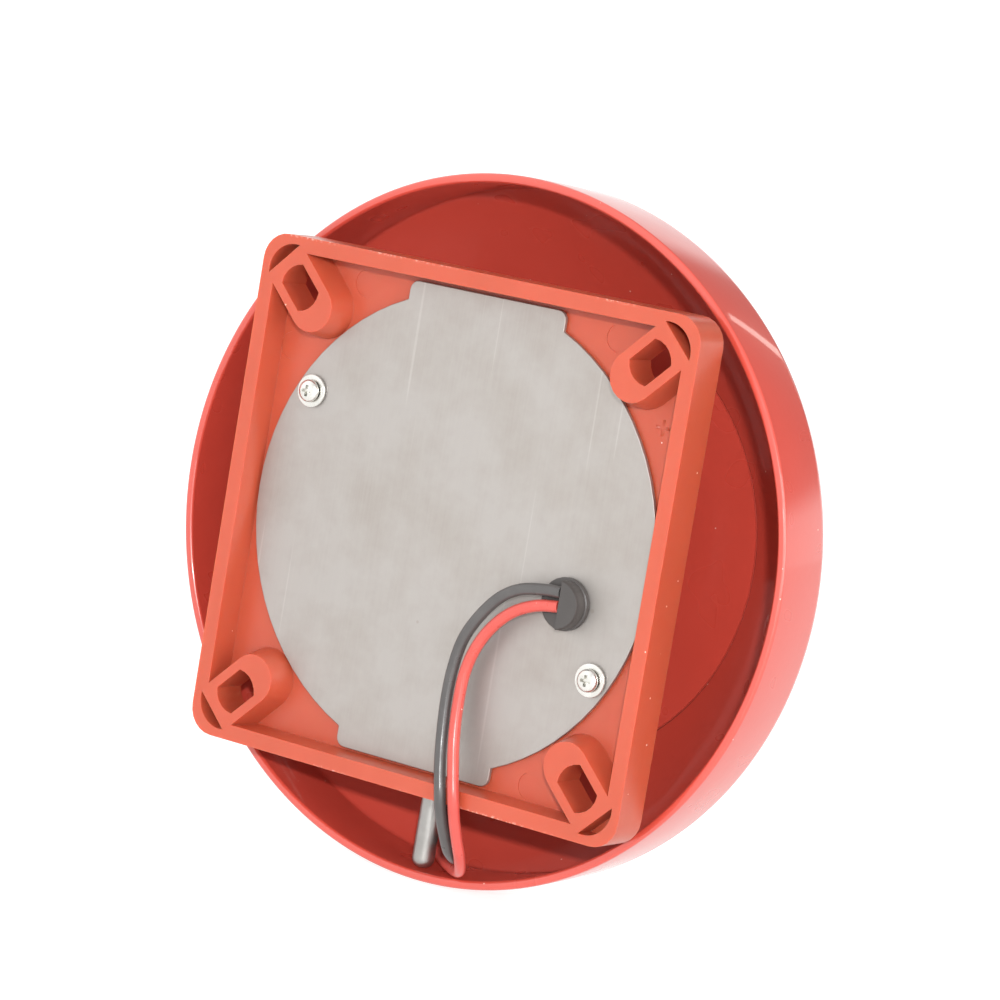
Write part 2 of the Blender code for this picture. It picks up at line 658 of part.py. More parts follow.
def make_cam(materials):
    """An eccentric disc with a hub on the shaft's axis, locked by a grub screw."""
    low, high = STRIKER_Y - 1.7, STRIKER_Y + 1.7
    cam = rod("eccentric_cam", CAM_RADIUS, low, high, materials["brass"],
              centre=(0, 0, MOTOR_Z - CAM_THROW), steps=40)
    join(cam, rod("cam_hub", 2.8, high - 0.5, -11.8, centre=(0, 0, MOTOR_Z), steps=40))
    cut(cam, rod("cam_bore", 1.3, -30, 0, centre=(0, 0, MOTOR_Z), steps=32))
    upright = {"axis": (0, 0, 1), "centre": (0, -13.1, MOTOR_Z), "steps": SMALL}
    cut(cam, rod("grub_hole", 0.85, 0.6, 5, **upright))
    rod("cam_grub_screw", 0.55, 1.3, 2.6, materials["zinc_steel"], **upright)


def make_motor_bracket(materials):
    outline = rounded_rectangle(24.2, 7.2, 3.0, 4, centre=(0, MOTOR_Z + 3.2))
    bracket = slab("motor_bracket", outline, MOTOR_REAR + GAP, MOTOR_REAR + 1.3, materials["zinc_steel"])
    cut(bracket, rod("bracket_shaft_hole", 2.2, -30, 0, centre=(0, 0, MOTOR_Z)))
    for letter, side in (("a", 1), ("b", -1)):
        centre = (side * BRACKET_X, 0, BRACKET_Z)
        cut(bracket, rod(f"bracket_hole_{letter}", 1.35, -30, 0, centre=centre, steps=SMALL))
        pan_screw(f"bracket_screw_{letter}", 1.0, 2.0, MOTOR_REAR + 1.6, MOTOR_REAR - 6.5, centre,
                  materials["zinc_steel"])


def make_yoke(materials):
    """The frame round the eccentric: the cam lifts it by twice its throw in half a turn."""
    rest = MOTOR_Z - CAM_THROW
    half = CAM_RADIUS + YOKE_LASH
    bottom = rest - half - 4.4
    outline_centre = (0, (rest + half + 2.3 + bottom) / 2)
    half_z = (rest + half + 2.3 - bottom) / 2
    yoke = slab("striker_yoke", rounded_rectangle(8.6, half_z, 1.2, 3, outline_centre),
                STRIKER_Y - 1.8, STRIKER_Y + 1.8, materials["white_nylon"])
    cut(yoke, slab("yoke_window", rounded_rectangle(6.4, half, 1.0, 3, (0, rest)), -20, -10))
    upright = {"axis": (0, 0, 1), "centre": (0, STRIKER_Y, 0), "steps": 30}
    join(yoke, rod("yoke_socket", 3.7, bottom - 0.6, bottom + 3.0, **upright))
    cross = {"axis": (0, 1, 0), "centre": (0, 0, bottom + 1.5), "steps": SMALL}
    cut(yoke, rod("yoke_pin_hole", 0.9, -24, -8, **cross))
    cut(yoke, rod("yoke_bore", STRIKER_RADIUS + GAP, bottom - 2, bottom + 3.2, **upright))
    rod("striker_pin", 0.6, STRIKER_Y - 3.0, STRIKER_Y + 3.0, materials["zinc_steel"], **cross)
    return bottom


def make_striker(materials):
    bottom = make_yoke(materials)
    upright = {"axis": (0, 0, 1), "centre": (0, STRIKER_Y, 0)}
    tip = arc((STRIKER_RADIUS - 1.4, STRIKER_TIP + 1.4), 1.4, -90, 0, 5)
    profile = [(0, STRIKER_TIP)] + tip + [(STRIKER_RADIUS, bottom + 2.6), (STRIKER_RADIUS - 0.3, bottom + 2.9),
                                          (0, bottom + 2.9)]
    striker = revolved("striker_rod", profile, materials["striker_steel"], steps=32, **upright)
    cut(striker, rod("rod_pin_hole", 0.9, -24, -8, centre=(0, 0, bottom + 1.5), steps=SMALL))
    finish_round(striker)
    profile = [(2.48, BUSH_TOP), (4.0, BUSH_TOP), (4.3, BUSH_TOP - 0.4), (4.3, BUSH_TOP - BUSH_LENGTH),
               (2.48, BUSH_TOP - BUSH_LENGTH)]
    revolved("guide_bush", profile, materials["brass"], steps=32, ring=True, **upright)
    make_return_spring(materials, BUSH_TOP + GAP, bottom - GAP - 0.6)


def make_return_spring(materials, low, high):
    """Round wire coiled between the bush and the yoke."""
    thick, coil, turns, per_turn = 0.7, 3.3, 5, 12
    points = []
    for i in range(turns * per_turn + 1):
        turn = 2 * math.pi * i / per_turn
        rise = low + thick / 2 + (high - low - thick) * i / (turns * per_turn)
        points.append(Vector((coil * math.cos(turn), STRIKER_Y + coil * math.sin(turn), rise)))
    wire("return_spring", points, thick, materials["zinc_steel"], resolution=0)


# Circuit board


def make_board(materials):
    rear = BOARD_FRONT + BOARD_THICK
    outline = rounded_rectangle(24.0, 10.5, 2.0, 4, centre=(0, 14.5))
    board = slab("circuit_board", outline, BOARD_FRONT, rear, materials["board_laminate"])
    for letter, side in (("a", 1), ("b", -1)):
        centre = (side * BOARD_POST_X, 0, BOARD_POST_Z)
        cut(board, rod(f"board_hole_{letter}", 1.35, -30, 0, centre=centre, steps=SMALL))
        pan_screw(f"board_screw_{letter}", 1.0, 2.0, rear + GAP, rear - 8, centre,
                  materials["zinc_steel"])
    seat = rear + GAP
    terminal = block("terminal_block", (-16.0, seat, 5.2), (-8.2, seat + 7.4, 15.2), materials["black_nylon"])
    for z in (7.6, 12.6):
        cut(terminal, rod(f"clamp_screw_well_{z:.0f}", 1.5, seat + 4.5, seat + 9, centre=(-12.1, 0, z),
                          steps=SMALL))
    rod("surge_capacitor", 4.0, seat, seat + 7.6, materials["component_blue"], centre=(9.0, 0, 16.5),
        steps=ROUND, edge=0.5)
    rod("varistor_disc", 3.9, -1.5, 1.5, materials["brass"], axis=(1, 0, 0),
        centre=(-1.5, seat + 4.1, 17.0), edge=0.4)
    rod("flyback_diode", 1.3, -2.6, 2.6, materials["black_nylon"], axis=(1, 0, 0),
        centre=(3.0, seat + 1.5, 7.6), steps=SMALL)
    profile = arc((3.4, 1.4), 1.3, 22.5, 337.5, 7)
    revolved("choke_ring", profile, materials["ferrite"], centre=(12.6, seat, 8.2), ring=True)


def main():
    clear_scene()
    materials = make_materials()
    make_gong(materials)
    make_gong_fixing(materials)
    make_back_box(materials)
    make_back_plate(materials)
    make_plate_fasteners(materials)
    make_strain_relief(materials)
    make_leads(materials)
    make_motor(materials)
    make_rotor(materials)
    make_cam(materials)
    make_motor_bracket(materials)
    make_striker(materials)
    make_board(materials)


main()
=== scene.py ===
# %% [markdown]
# # A motorised fire alarm bell, seen from its wall side
#
# This file is a lesson in small steps. The mechanical model is loaded first and never moved.
# The steps after it make the leads, the light, the finishes and the pieces that show, and each
# step says what the real piece is, how it could be made, and why one way was chosen.

# %% Load the mechanical model
import json
import math

import bpy
from mathutils import Matrix, Vector


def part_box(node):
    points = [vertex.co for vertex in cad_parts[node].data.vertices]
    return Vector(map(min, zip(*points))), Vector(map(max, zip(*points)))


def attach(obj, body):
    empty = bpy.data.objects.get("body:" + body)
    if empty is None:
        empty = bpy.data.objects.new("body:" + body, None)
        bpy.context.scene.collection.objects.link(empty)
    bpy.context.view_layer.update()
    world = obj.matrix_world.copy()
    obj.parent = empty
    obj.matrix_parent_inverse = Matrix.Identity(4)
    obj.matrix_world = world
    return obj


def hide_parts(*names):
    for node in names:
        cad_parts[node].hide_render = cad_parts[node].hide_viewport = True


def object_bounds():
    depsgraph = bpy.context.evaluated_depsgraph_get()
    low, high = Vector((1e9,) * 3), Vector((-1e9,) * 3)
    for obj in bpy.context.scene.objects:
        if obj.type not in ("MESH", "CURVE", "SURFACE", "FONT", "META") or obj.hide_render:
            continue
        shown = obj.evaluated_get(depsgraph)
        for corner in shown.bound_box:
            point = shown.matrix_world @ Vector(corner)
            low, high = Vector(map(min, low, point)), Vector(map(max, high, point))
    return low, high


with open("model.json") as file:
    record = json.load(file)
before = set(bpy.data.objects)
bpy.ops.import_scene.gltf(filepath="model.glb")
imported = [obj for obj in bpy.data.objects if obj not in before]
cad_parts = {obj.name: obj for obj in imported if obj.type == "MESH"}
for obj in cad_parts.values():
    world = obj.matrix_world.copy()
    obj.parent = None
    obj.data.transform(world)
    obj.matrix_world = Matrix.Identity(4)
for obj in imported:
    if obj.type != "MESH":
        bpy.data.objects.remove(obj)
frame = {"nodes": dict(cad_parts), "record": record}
model_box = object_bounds()
nodes = frame["nodes"]

# %% [markdown]
# ## Measures
#
# Workshop drawings of small parts are in millimetres and Blender works in metres, so lengths
# below are written in millimetres and turned over once. The two boxes that the model gives for
# the gong and the back box place nearly everything else.

# %% Measures of the gong and the box
MM = 0.001
gong_low, gong_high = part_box("gong")
box_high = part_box("back_box")[1]

GONG_RADIUS = gong_high.x
GONG_RIM = gong_high.y
TRAY_HALF = box_high.x
TRAY_FLOOR = -6.3 * MM
print(f"gong {2 * GONG_RADIUS / MM:.1f} mm across, box {2 * TRAY_HALF / MM:.1f} mm square")

# %% [markdown]
# ## Camera
#
# A long lens from about 80 cm shows the bell from behind and a little from above, and it is
# rolled by some ten degrees, so that the square box seems to lean. A camera is placed fastest
# by its matrix: three columns hold its right, up and backward directions, the fourth its place.

# %% Camera
CAMERA_RIGHT = (-0.82403158, -0.54218304, 0.16434569)
CAMERA_UP = (0.19908425, -0.00553022, 0.97996677)
CAMERA_BACK = (-0.53041249, 0.84024221, 0.11249718)
CAMERA_PLACE = (-0.44065, 0.67556, 0.10021)
LENS_MM = 141.8

camera_data = bpy.data.cameras.new("camera")
camera_data.lens = LENS_MM
camera_data.sensor_width = 36
camera = bpy.data.objects.new("camera", camera_data)
bpy.context.scene.collection.objects.link(camera)
columns = (CAMERA_RIGHT, CAMERA_UP, CAMERA_BACK, CAMERA_PLACE)
camera.matrix_world = Matrix([[column[row] for column in columns] for row in range(3)] + [[0, 0, 0,
                                                                                           1]])
bpy.context.scene.camera = camera
print("camera at", CAMERA_PLACE)

# %% [markdown]
# ## The two flying leads
#
# A bell leaves the factory with two short insulated leads. They come sideways out of the strain
# relief, droop over the plate and the lower rim, and their spare length is tucked into the gong.
# They could be modelled as swept meshes, but a curve keeps the route editable: one Bezier spline
# with a round bevel. Each point's handles follow the line between its two neighbours, which is
# the Catmull-Rom rule and gives the same smooth path as the mechanical model. The bevel is one
# metre deep and every point's radius scales it down, because Blender takes a curve's bounding
# box from those radii.

# %% Routes of the leads, in millimetres
LEAD_DIAMETER = 2.5 * MM
LEAD_BLACK_ROUTE = [
    (-31.2, -1.9, -5.95), (-27.6, -1.7, -6.15), (-22.1, -1.4, -7.2), (-17.7, -1.1, -9.7),
    (-13.7, -1.0, -14.2), (-10.5, -1.0, -19.8), (-9.15, -0.9, -26.0), (-9.0, -0.5, -33.0),
    (-9.9, 0.2, -41.0), (-11.3, 1.2, -47.0), (-12.7, 1.7, -52.4), (-13.0, 0.6, -56.6),
    (-12.9, -2.3, -61.3), (-12.6, -5.4, -65.0), (-11.3, -10.2, -67.3), (-6.8, -16.2, -67.3),
    (-1.8, -21.4, -65.8), (2.2, -25.2, -62.6), (5.0, -29.2, -59.8), (8.2, -33.6, -58.2),
    (12.5, -37.8, -56.6), (18.0, -40.6, -53.6), (24.5, -41.8, -49.8), (31.0, -42.1, -45.2),
    (36.2, -42.0, -40.8),
]
LEAD_RED_ROUTE = [
    (-31.2, -1.9, -8.9), (-26.0, -1.6, -9.8), (-21.0, -1.2, -12.2), (-17.0, -1.0, -16.0),
    (-13.9, -1.0, -20.9), (-12.1, -0.9, -27.0), (-12.1, -0.4, -34.4), (-13.0, 0.3, -41.0),
    (-14.6, 1.2, -47.0), (-16.0, 1.7, -52.2), (-16.3, 0.5, -56.6), (-16.2, -2.1, -61.5),
    (-15.7, -5.2, -65.9), (-13.2, -9.8, -69.5), (-7.6, -15.5, -70.7), (-0.9, -21.3, -70.3),
    (5.0, -26.2, -67.4), (9.2, -30.6, -63.8), (13.6, -34.4, -60.6), (19.4, -37.0, -57.2),
    (26.0, -38.2, -53.2), (32.6, -38.7, -48.8), (38.0, -38.8, -44.6),
]
print(len(LEAD_BLACK_ROUTE), "points on the black lead,", len(LEAD_RED_ROUTE), "on the red one")

# %% [markdown]
# A lead is insulated stranded wire: it bends in smooth arcs and never in corners. The spline's
# points carry the lead's radius, and each lead is tied to the bell's body in place of its node of
# the mechanical model, which is hidden.


def lead_curve(name, route):
    points = [Vector(point) * MM for point in route]
    curve = bpy.data.curves.new(name, "CURVE")
    curve.dimensions = "3D"
    curve.resolution_u = 10
    curve.bevel_depth = 1.0
    curve.bevel_resolution = 6
    curve.use_fill_caps = True
    spline = curve.splines.new("BEZIER")
    spline.bezier_points.add(len(points) - 1)
    before = [2 * points[0] - points[1]] + points[:-1]
    after = points[1:] + [2 * points[-1] - points[-2]]
    for knot, point, last, following in zip(spline.bezier_points, points, before, after):
        reach = (following - last) / 6
        knot.handle_left_type = knot.handle_right_type = "FREE"
        knot.co = point
        knot.radius = LEAD_DIAMETER / 2
        knot.handle_left = point - reach
        knot.handle_right = point + reach
    piece = bpy.data.objects.new(name, curve)
    bpy.context.scene.collection.objects.link(piece)
    return piece


def hang_lead(colour, route):
    lead = lead_curve(f"flying_lead_{colour}", route)
    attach(lead, "bell_body")
    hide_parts(f"lead_{colour}")
    return lead


lead_black = hang_lead("black", LEAD_BLACK_ROUTE)
lead_red = hang_lead("red", LEAD_RED_ROUTE)

# %% [markdown]
# ## Table, sky and lamps
#
# The bell stands on a white shooting table that glows, so that its own shadow nearly fades. A
# white backdrop stands round it up to eye height. Above that the room is grey on the camera's
# side, and on the far side it is half bright and half dark, so that gloss paint shows an edge.
# A small key lamp just above the camera draws crisp shadows, a wide fill lamp from the right
# opens the side walls, and a narrow far lamp adds a streak.


# %% White shooting table
def connect(tree, source, target):
    tree.links.new(source, target)


TABLE_GAP = 0.3 * MM
bpy.ops.object.select_all(action="DESELECT")
bpy.ops.mesh.primitive_plane_add(size=30, location=(0, 0, gong_low.z - TABLE_GAP))
table = bpy.context.object
table.name = "shooting_table"
table_finish = bpy.data.materials.new("table_white")
table_finish.use_nodes = True
table_shader = table_finish.node_tree.nodes["Principled BSDF"]
table_shader.inputs["Base Color"].default_value = (0.34, 0.34, 0.34, 1)
table_shader.inputs["Roughness"].default_value = 0.6
table_shader.inputs["Emission Color"].default_value = (1, 0.995, 0.99, 1)
table_shader.inputs["Emission Strength"].default_value = 0.82
table.data.materials.append(table_finish)
print("table at", round(table.location.z / MM, 2), "mm")

# %% [markdown]
# A product stands in a white room. The world gives an even white backdrop, and the part of it
# behind the camera gets darker and brighter sides, so that glossy paint has something to
# reflect. A smooth step from one strength to the next avoids a hard edge in the reflections.

# %% Backdrop and sky
BACKDROP_STRENGTH = 1.5
CAMERA_RIGHT_STRENGTH = 0.95
CAMERA_LEFT_STRENGTH = 1.45
FAR_DARK_STRENGTH = 0.25
FAR_BRIGHT_STRENGTH = 1.25


def smooth_step(tree, value, low, high, first, last):
    """Runs from first to last while value runs from low to high; inputs may be sockets."""
    step = tree.nodes.new("ShaderNodeMapRange")
    step.interpolation_type = "SMOOTHSTEP"
    numbers = {"Value": value, "From Min": low, "From Max": high, "To Min": first, "To Max": last}
    for name, number in numbers.items():
        if isinstance(number, bpy.types.NodeSocket):
            connect(tree, number, step.inputs[name])
        else:
            step.inputs[name].default_value = number
    return step.outputs["Result"]


world = bpy.data.worlds.new("backdrop_and_sky")
world.use_nodes = True
world_tree = world.node_tree
backdrop = world_tree.nodes["Background"]
backdrop.inputs["Color"].default_value = (1, 0.995, 0.99, 1)
looking = world_tree.nodes.new("ShaderNodeTexCoord")
direction = world_tree.nodes.new("ShaderNodeSeparateXYZ")
connect(world_tree, looking.outputs["Generated"], direction.inputs["Vector"])
far_side = smooth_step(world_tree, direction.outputs["X"], 0.12, 0.26, FAR_DARK_STRENGTH,
                       FAR_BRIGHT_STRENGTH)
near_side = smooth_step(world_tree, direction.outputs["X"], -0.4, 0.5, CAMERA_RIGHT_STRENGTH,
                        CAMERA_LEFT_STRENGTH)
above = smooth_step(world_tree, direction.outputs["Y"], -0.3, 0.2, far_side, near_side)
strength = smooth_step(world_tree, direction.outputs["Z"], 0.12, 0.22, BACKDROP_STRENGTH, above)
connect(world_tree, strength, backdrop.inputs["Strength"])
bpy.context.scene.world = world
bpy.context.scene.view_settings.view_transform = "Standard"
print("backdrop", BACKDROP_STRENGTH, "and the room behind the camera", CAMERA_RIGHT_STRENGTH, "to",
      CAMERA_LEFT_STRENGTH)


# %% [markdown]
# Three area lamps do the rest. A small key lamp draws crisp shadows, a large fill lamp opens
# them, and a narrow strip lays one soft streak along the gong's side. Each is placed by a
# direction and a distance from the bell's middle, which is easier to adjust than a position.


# %% Lamps
def aim_lamp(name, direction, distance, width, height, watts, colour=(1, 1, 1)):
    """An area lamp that looks at the middle of the bell from a direction."""
    lamp_data = bpy.data.lights.new(name, "AREA")
    lamp_data.shape = "RECTANGLE"
    lamp_data.size, lamp_data.size_y = width, height
    lamp_data.energy = watts
    lamp_data.color = colour
    lamp = bpy.data.objects.new(name, lamp_data)
    bpy.context.scene.collection.objects.link(lamp)
    middle = (model_box[0] + model_box[1]) / 2
    away = Vector(direction).normalized()
    lamp.location = middle + away * distance
    lamp.rotation_mode = "QUATERNION"
    lamp.rotation_quaternion = away.to_track_quat("Z", "Y")
    return lamp


KEY_DIRECTION = (-0.645, 1.0, 0.285)
STREAK_DIRECTION = (-0.15, -0.84, 0.45)
FILL_DIRECTION = (-1.0, 0.35, 0.15)
KEY_WATTS, FILL_WATTS, STREAK_WATTS = 17.0, 5.0, 0.09
WARM_WHITE = (1, 0.93, 0.85)
aim_lamp("key_lamp", KEY_DIRECTION, 1.5, 0.05, 0.05, KEY_WATTS)
aim_lamp("fill_lamp", FILL_DIRECTION, 1.2, 0.7, 0.7, FILL_WATTS)
aim_lamp("streak_lamp", STREAK_DIRECTION, 0.9, 0.03, 0.3, STREAK_WATTS, WARM_WHITE)
print("three lamps")

# %% [markdown]
# ## Finishes
#
# Every finish is a small network of nodes on one Principled shader. Patterns read Object
# coordinates, and because every piece lies at the origin, a pattern is measured in metres
# straight in the bell's own frame. Three helpers keep the networks short: one adds a node and
# fills or links its inputs, one makes noise, and one turns a pattern into a bump.


# %% Helpers for the finishes
def add_node(tree, kind, inputs=None, **settings):
    made = tree.nodes.new(kind)
    for name, value in settings.items():
        setattr(made, name, value)
    for key, value in (inputs or {}).items():
        if isinstance(value, bpy.types.NodeSocket):
            connect(tree, value, made.inputs[key])
        else:
            made.inputs[key].default_value = value
    return made


def start_finish(name, **constants):
    """A new material, its tree, its shader and Object coordinates; constants go on the shader."""
    finish = bpy.data.materials.new(name)
    finish.use_nodes = True
    tree = finish.node_tree
    shader = tree.nodes["Principled BSDF"]
    for socket, value in constants.items():
        shader.inputs[socket.replace("_", " ")].default_value = value
    where = add_node(tree, "ShaderNodeTexCoord").outputs["Object"]
    return finish, tree, shader, where


def stretch(tree, where, factors):
    return add_node(tree, "ShaderNodeMapping",
                    {"Vector": where, "Scale": factors}).outputs["Vector"]


def grain(tree, where, feature_mm, detail=3.0, roughness=0.55):
    """Noise whose features are about feature_mm across."""
    inputs = {"Vector": where, "Scale": 1 / (feature_mm * MM), "Detail": detail,
              "Roughness": roughness}
    return add_node(tree, "ShaderNodeTexNoise", inputs).outputs["Fac"]


def remap(tree, value, low, high, first, last):
    inputs = {"Value": value, "From Min": low, "From Max": high, "To Min": first, "To Max": last}
    return add_node(tree, "ShaderNodeMapRange", inputs).outputs["Result"]


def blend(tree, share, first, second):
    """Two colours mixed by a share; a colour is three numbers or another node's output."""
    mix = add_node(tree, "ShaderNodeMix", data_type="RGBA")
    for index, value in ((0, share), (6, first), (7, second)):
        if isinstance(value, bpy.types.NodeSocket):
            connect(tree, value, mix.inputs[index])
        else:
            mix.inputs[index].default_value = value if index == 0 else (*value, 1)
    return mix.outputs[2]


def math_node(tree, operation, first, second=0.0):
    made = add_node(tree, "ShaderNodeMath", {0: first, 1: second}, operation=operation)
    return made.outputs[0]


def bump(tree, shader, height, depth_mm, strength=1.0):
    inputs = {"Height": height, "Distance": depth_mm * MM, "Strength": strength}
    connect(tree, add_node(tree, "ShaderNodeBump", inputs).outputs["Normal"],
            shader.inputs["Normal"])


def specks(tree, where, spacing_mm, size, share):
    """1 on small dots about spacing_mm apart, of which only a share is kept."""
    cells = add_node(tree, "ShaderNodeTexVoronoi",
                     {"Vector": where, "Scale": 1 / (spacing_mm * MM)})
    dots = math_node(tree, "LESS_THAN", cells.outputs["Distance"], size)
    parts = add_node(tree, "ShaderNodeSeparateColor", {"Color": cells.outputs["Color"]})
    kept = math_node(tree, "LESS_THAN", parts.outputs[0], share)
    return math_node(tree, "MULTIPLY", dots, kept)


finishes = {}
print("helpers ready")

# %% [markdown]
# ### Gloss red paint on the gong
#
# The gong is pressed steel with a stoved gloss enamel. Sprayed enamel never dries quite flat: it
# keeps an orange peel of about a millimetre, which breaks reflections up. A noise bump of a few
# hundredths of a millimetre does that. Fine dust that settled on the shell is a set of specks.


# %% Paint
CREASE_RADIUS = 49.35 * MM
CREASE_WIDTH = 0.16 * MM


def painted_crease_shade(tree, where):
    """1 on a thin ring along the crease inside the gong, where a dark line of painted shade is
    drawn.
    """
    axes = add_node(tree, "ShaderNodeSeparateXYZ", {"Vector": where})
    flat = add_node(tree, "ShaderNodeCombineXYZ", {"X": axes.outputs["X"], "Z": axes.outputs["Z"]})
    radius = add_node(tree, "ShaderNodeVectorMath", {0: flat.outputs[0]},
                      operation="LENGTH").outputs["Value"]
    off_ring = math_node(tree, "ABSOLUTE", math_node(tree, "SUBTRACT", radius, CREASE_RADIUS))
    ring = remap(tree, off_ring, CREASE_WIDTH * 0.6, CREASE_WIDTH, 1, 0)
    inner_side = math_node(tree, "GREATER_THAN", axes.outputs["Y"], gong_low.y + MM)
    return math_node(tree, "MULTIPLY", math_node(tree, "MULTIPLY", ring, inner_side), 0.85)


def gong_enamel():
    finish, tree, shader, where = start_finish("gong_paint", Metallic=0.0, Coat_Weight=0.9,
                                               Coat_Roughness=0.05)
    drift = grain(tree, where, 24.0, 2.0)
    red = blend(tree, remap(tree, drift, 0.1, 0.9, 0, 1), (0.48, 0.052, 0.034),
                (0.54, 0.061, 0.040))
    # The near-black ring along the inner crease is painted shade, standing in for the shade the
    # crease holds.
    red = blend(tree, painted_crease_shade(tree, where), red, (0.07, 0.014, 0.010))
    dust = specks(tree, where, 5.0, 0.035, 0.5)
    fleck = specks(tree, where, 2.6, 0.03, 0.12)
    red = blend(tree, math_node(tree, "MAXIMUM", dust, fleck), red, (0.75, 0.42, 0.36))
    connect(tree, red, shader.inputs["Base Color"])
    smear = grain(tree, where, 9.0, 1.0)
    connect(tree, remap(tree, smear, 0.2, 0.8, 0.26, 0.32), shader.inputs["Roughness"])
    bump(tree, shader, grain(tree, where, 1.5, 1.5), 0.016)
    return finish


finishes["gong_paint"] = gong_enamel()
print("gong paint")

# %% [markdown]
# ### Moulded red ABS
#
# The back box is one injection moulding. Its colour goes through, so there is no paint to wear,
# but the rim's parting line keeps rough flash that shows as pale crumbs, the mould leaves a very
# fine spark-eroded grain, and the plastic lets a little light in, which warms its inner corners.


# %% ABS
def moulded_abs():
    finish, tree, shader, where = start_finish(
        "red_abs", Metallic=0.0, Subsurface_Weight=0.4, Subsurface_Scale=0.004)
    shader.inputs["Subsurface Radius"].default_value = (1.0, 0.25, 0.12)
    flow = grain(tree, stretch(tree, where, (1.0, 1.0, 0.35)), 14.0, 3.0)
    red = blend(tree, remap(tree, flow, 0.3, 0.7, 0, 1), (0.415, 0.070, 0.033),
                (0.455, 0.077, 0.038))
    axes = add_node(tree, "ShaderNodeSeparateXYZ", {"Vector": where})
    height = math_node(tree, "ABSOLUTE", axes.outputs["Z"])
    near_edge = remap(tree, height, TRAY_HALF - 0.55 * MM, TRAY_HALF - 0.05 * MM, 0, 1)
    near_rear = remap(tree, axes.outputs["Y"], -0.7 * MM, -0.2 * MM, 0, 1)
    crumbs = remap(tree, grain(tree, where, 0.8, 4.0, 0.7), 0.52, 0.60, 0, 1)
    stretches = remap(tree, grain(tree, where, 19.0, 1.0), 0.50, 0.60, 0.06, 1)
    crumbs = math_node(tree, "MULTIPLY", crumbs, stretches)
    flash = math_node(tree, "MULTIPLY", math_node(tree, "MULTIPLY", near_edge, near_rear), crumbs)
    dust = specks(tree, where, 4.2, 0.045, 0.16)
    pale = math_node(tree, "MAXIMUM", math_node(tree, "MULTIPLY", flash, 0.6), dust)
    connect(tree, blend(tree, pale, red, (0.90, 0.62, 0.52)), shader.inputs["Base Color"])
    gloss = grain(tree, where, 5.0, 3.0)
    connect(tree, remap(tree, gloss, 0.3, 0.7, 0.28, 0.38), shader.inputs["Roughness"])
    texture = grain(tree, where, 0.35, 2.0)
    crumble = math_node(tree, "MULTIPLY", flash, 3.0)
    bump(tree, shader, math_node(tree, "ADD", texture, crumble), 0.012)
    return finish


finishes["red_abs"] = moulded_abs()
print("red ABS")

# %% [markdown]
# ### Cold-rolled plate
#
# The back plate is bare sheet. It has faint rolling lines that run up and down, a few longer
# scratches from handling, and grey stains where oil dried. A noise that is stretched along Z
# gives the lines, and a broad noise gives the stains.


# %% Plate steel
def rolled_sheet():
    finish, tree, shader, where = start_finish("plate_steel", Metallic=0.9)
    rolling = grain(tree, stretch(tree, where, (1.0, 1.0, 0.02)), 0.5, 3.0)
    scratch_field = grain(tree, stretch(tree, where, (1.0, 1.0, 0.018)), 1.7, 1.0)
    scratches = remap(tree, scratch_field, 0.715, 0.735, 0, 1)
    stain = remap(tree, grain(tree, where, 15.0, 5.0, 0.62), 0.40, 0.68, 0, 1)
    steel = blend(tree, stain, (0.422, 0.398, 0.378), (0.378, 0.347, 0.320))
    steel = blend(tree, remap(tree, rolling, 0.25, 0.75, 0, 0.4), steel, (0.450, 0.424, 0.400))
    steel = blend(tree, math_node(tree, "MULTIPLY", scratches, 0.12), steel, (0.80, 0.78, 0.76))
    spots = specks(tree, where, 8.0, 0.06, 0.55)
    steel = blend(tree, math_node(tree, "MULTIPLY", spots, 0.5), steel, (0.33, 0.29, 0.25))
    connect(tree, steel, shader.inputs["Base Color"])
    connect(tree, remap(tree, stain, 0, 1, 0.54, 0.62), shader.inputs["Roughness"])
    relief = math_node(tree, "SUBTRACT", rolling, scratches)
    bump(tree, shader, relief, 0.004)
    return finish


finishes["plate_steel"] = rolled_sheet()
print("plate steel")

# %% [markdown]
# ### Small metals
#
# Zinc plate, turned steel, brass, tinned strands and enamelled copper differ in colour, in how
# rough they are, and in the scale of their marks. One recipe with those as its arguments makes
# all of them, so that they belong together as metals in one product do.


# %% Metals
def small_metal(name, bright, dull, rough_low, rough_high, mark_mm, drawn=(1.0, 1.0, 1.0),
                depth_mm=0.004):
    finish, tree, shader, where = start_finish(name, Metallic=1.0)
    marks = grain(tree, stretch(tree, where, drawn), mark_mm, 4.0)
    haze = grain(tree, where, 3.0, 3.0)
    connect(tree, blend(tree, remap(tree, haze, 0.3, 0.7, 0, 1), bright, dull),
            shader.inputs["Base Color"])
    connect(tree, remap(tree, marks, 0.3, 0.7, rough_low, rough_high), shader.inputs["Roughness"])
    bump(tree, shader, marks, depth_mm)
    return finish


finishes["zinc_steel"] = small_metal("zinc_steel", (0.78, 0.77, 0.74), (0.66, 0.65, 0.61), 0.18,
                                     0.34, 0.6)
finishes["striker_steel"] = small_metal(
    "striker_steel", (0.40, 0.395, 0.38), (0.34, 0.335, 0.32), 0.34, 0.46, 0.25,
    drawn=(1.0, 1.0, 6.0))
finishes["brass"] = small_metal("brass", (0.78, 0.56, 0.25), (0.62, 0.43, 0.18), 0.22, 0.40, 0.4)
finishes["tinned_copper"] = small_metal("tinned_copper", (0.74, 0.72, 0.68), (0.60, 0.58, 0.54),
                                        0.28, 0.45, 0.2)
finishes["winding_copper"] = small_metal(
    "winding_copper", (0.60, 0.24, 0.09), (0.42, 0.15, 0.06), 0.28, 0.42, 0.35,
    drawn=(1.0, 4.0, 1.0))
print("metals")

# %% [markdown]
# ### Plastics, rubber and the parts of the board
#
# The dark mouldings, the insulation and the soft rubber are not metals. Their recipe has a base
# colour that drifts slightly, a roughness range, a fine grain, and dust for those that show.


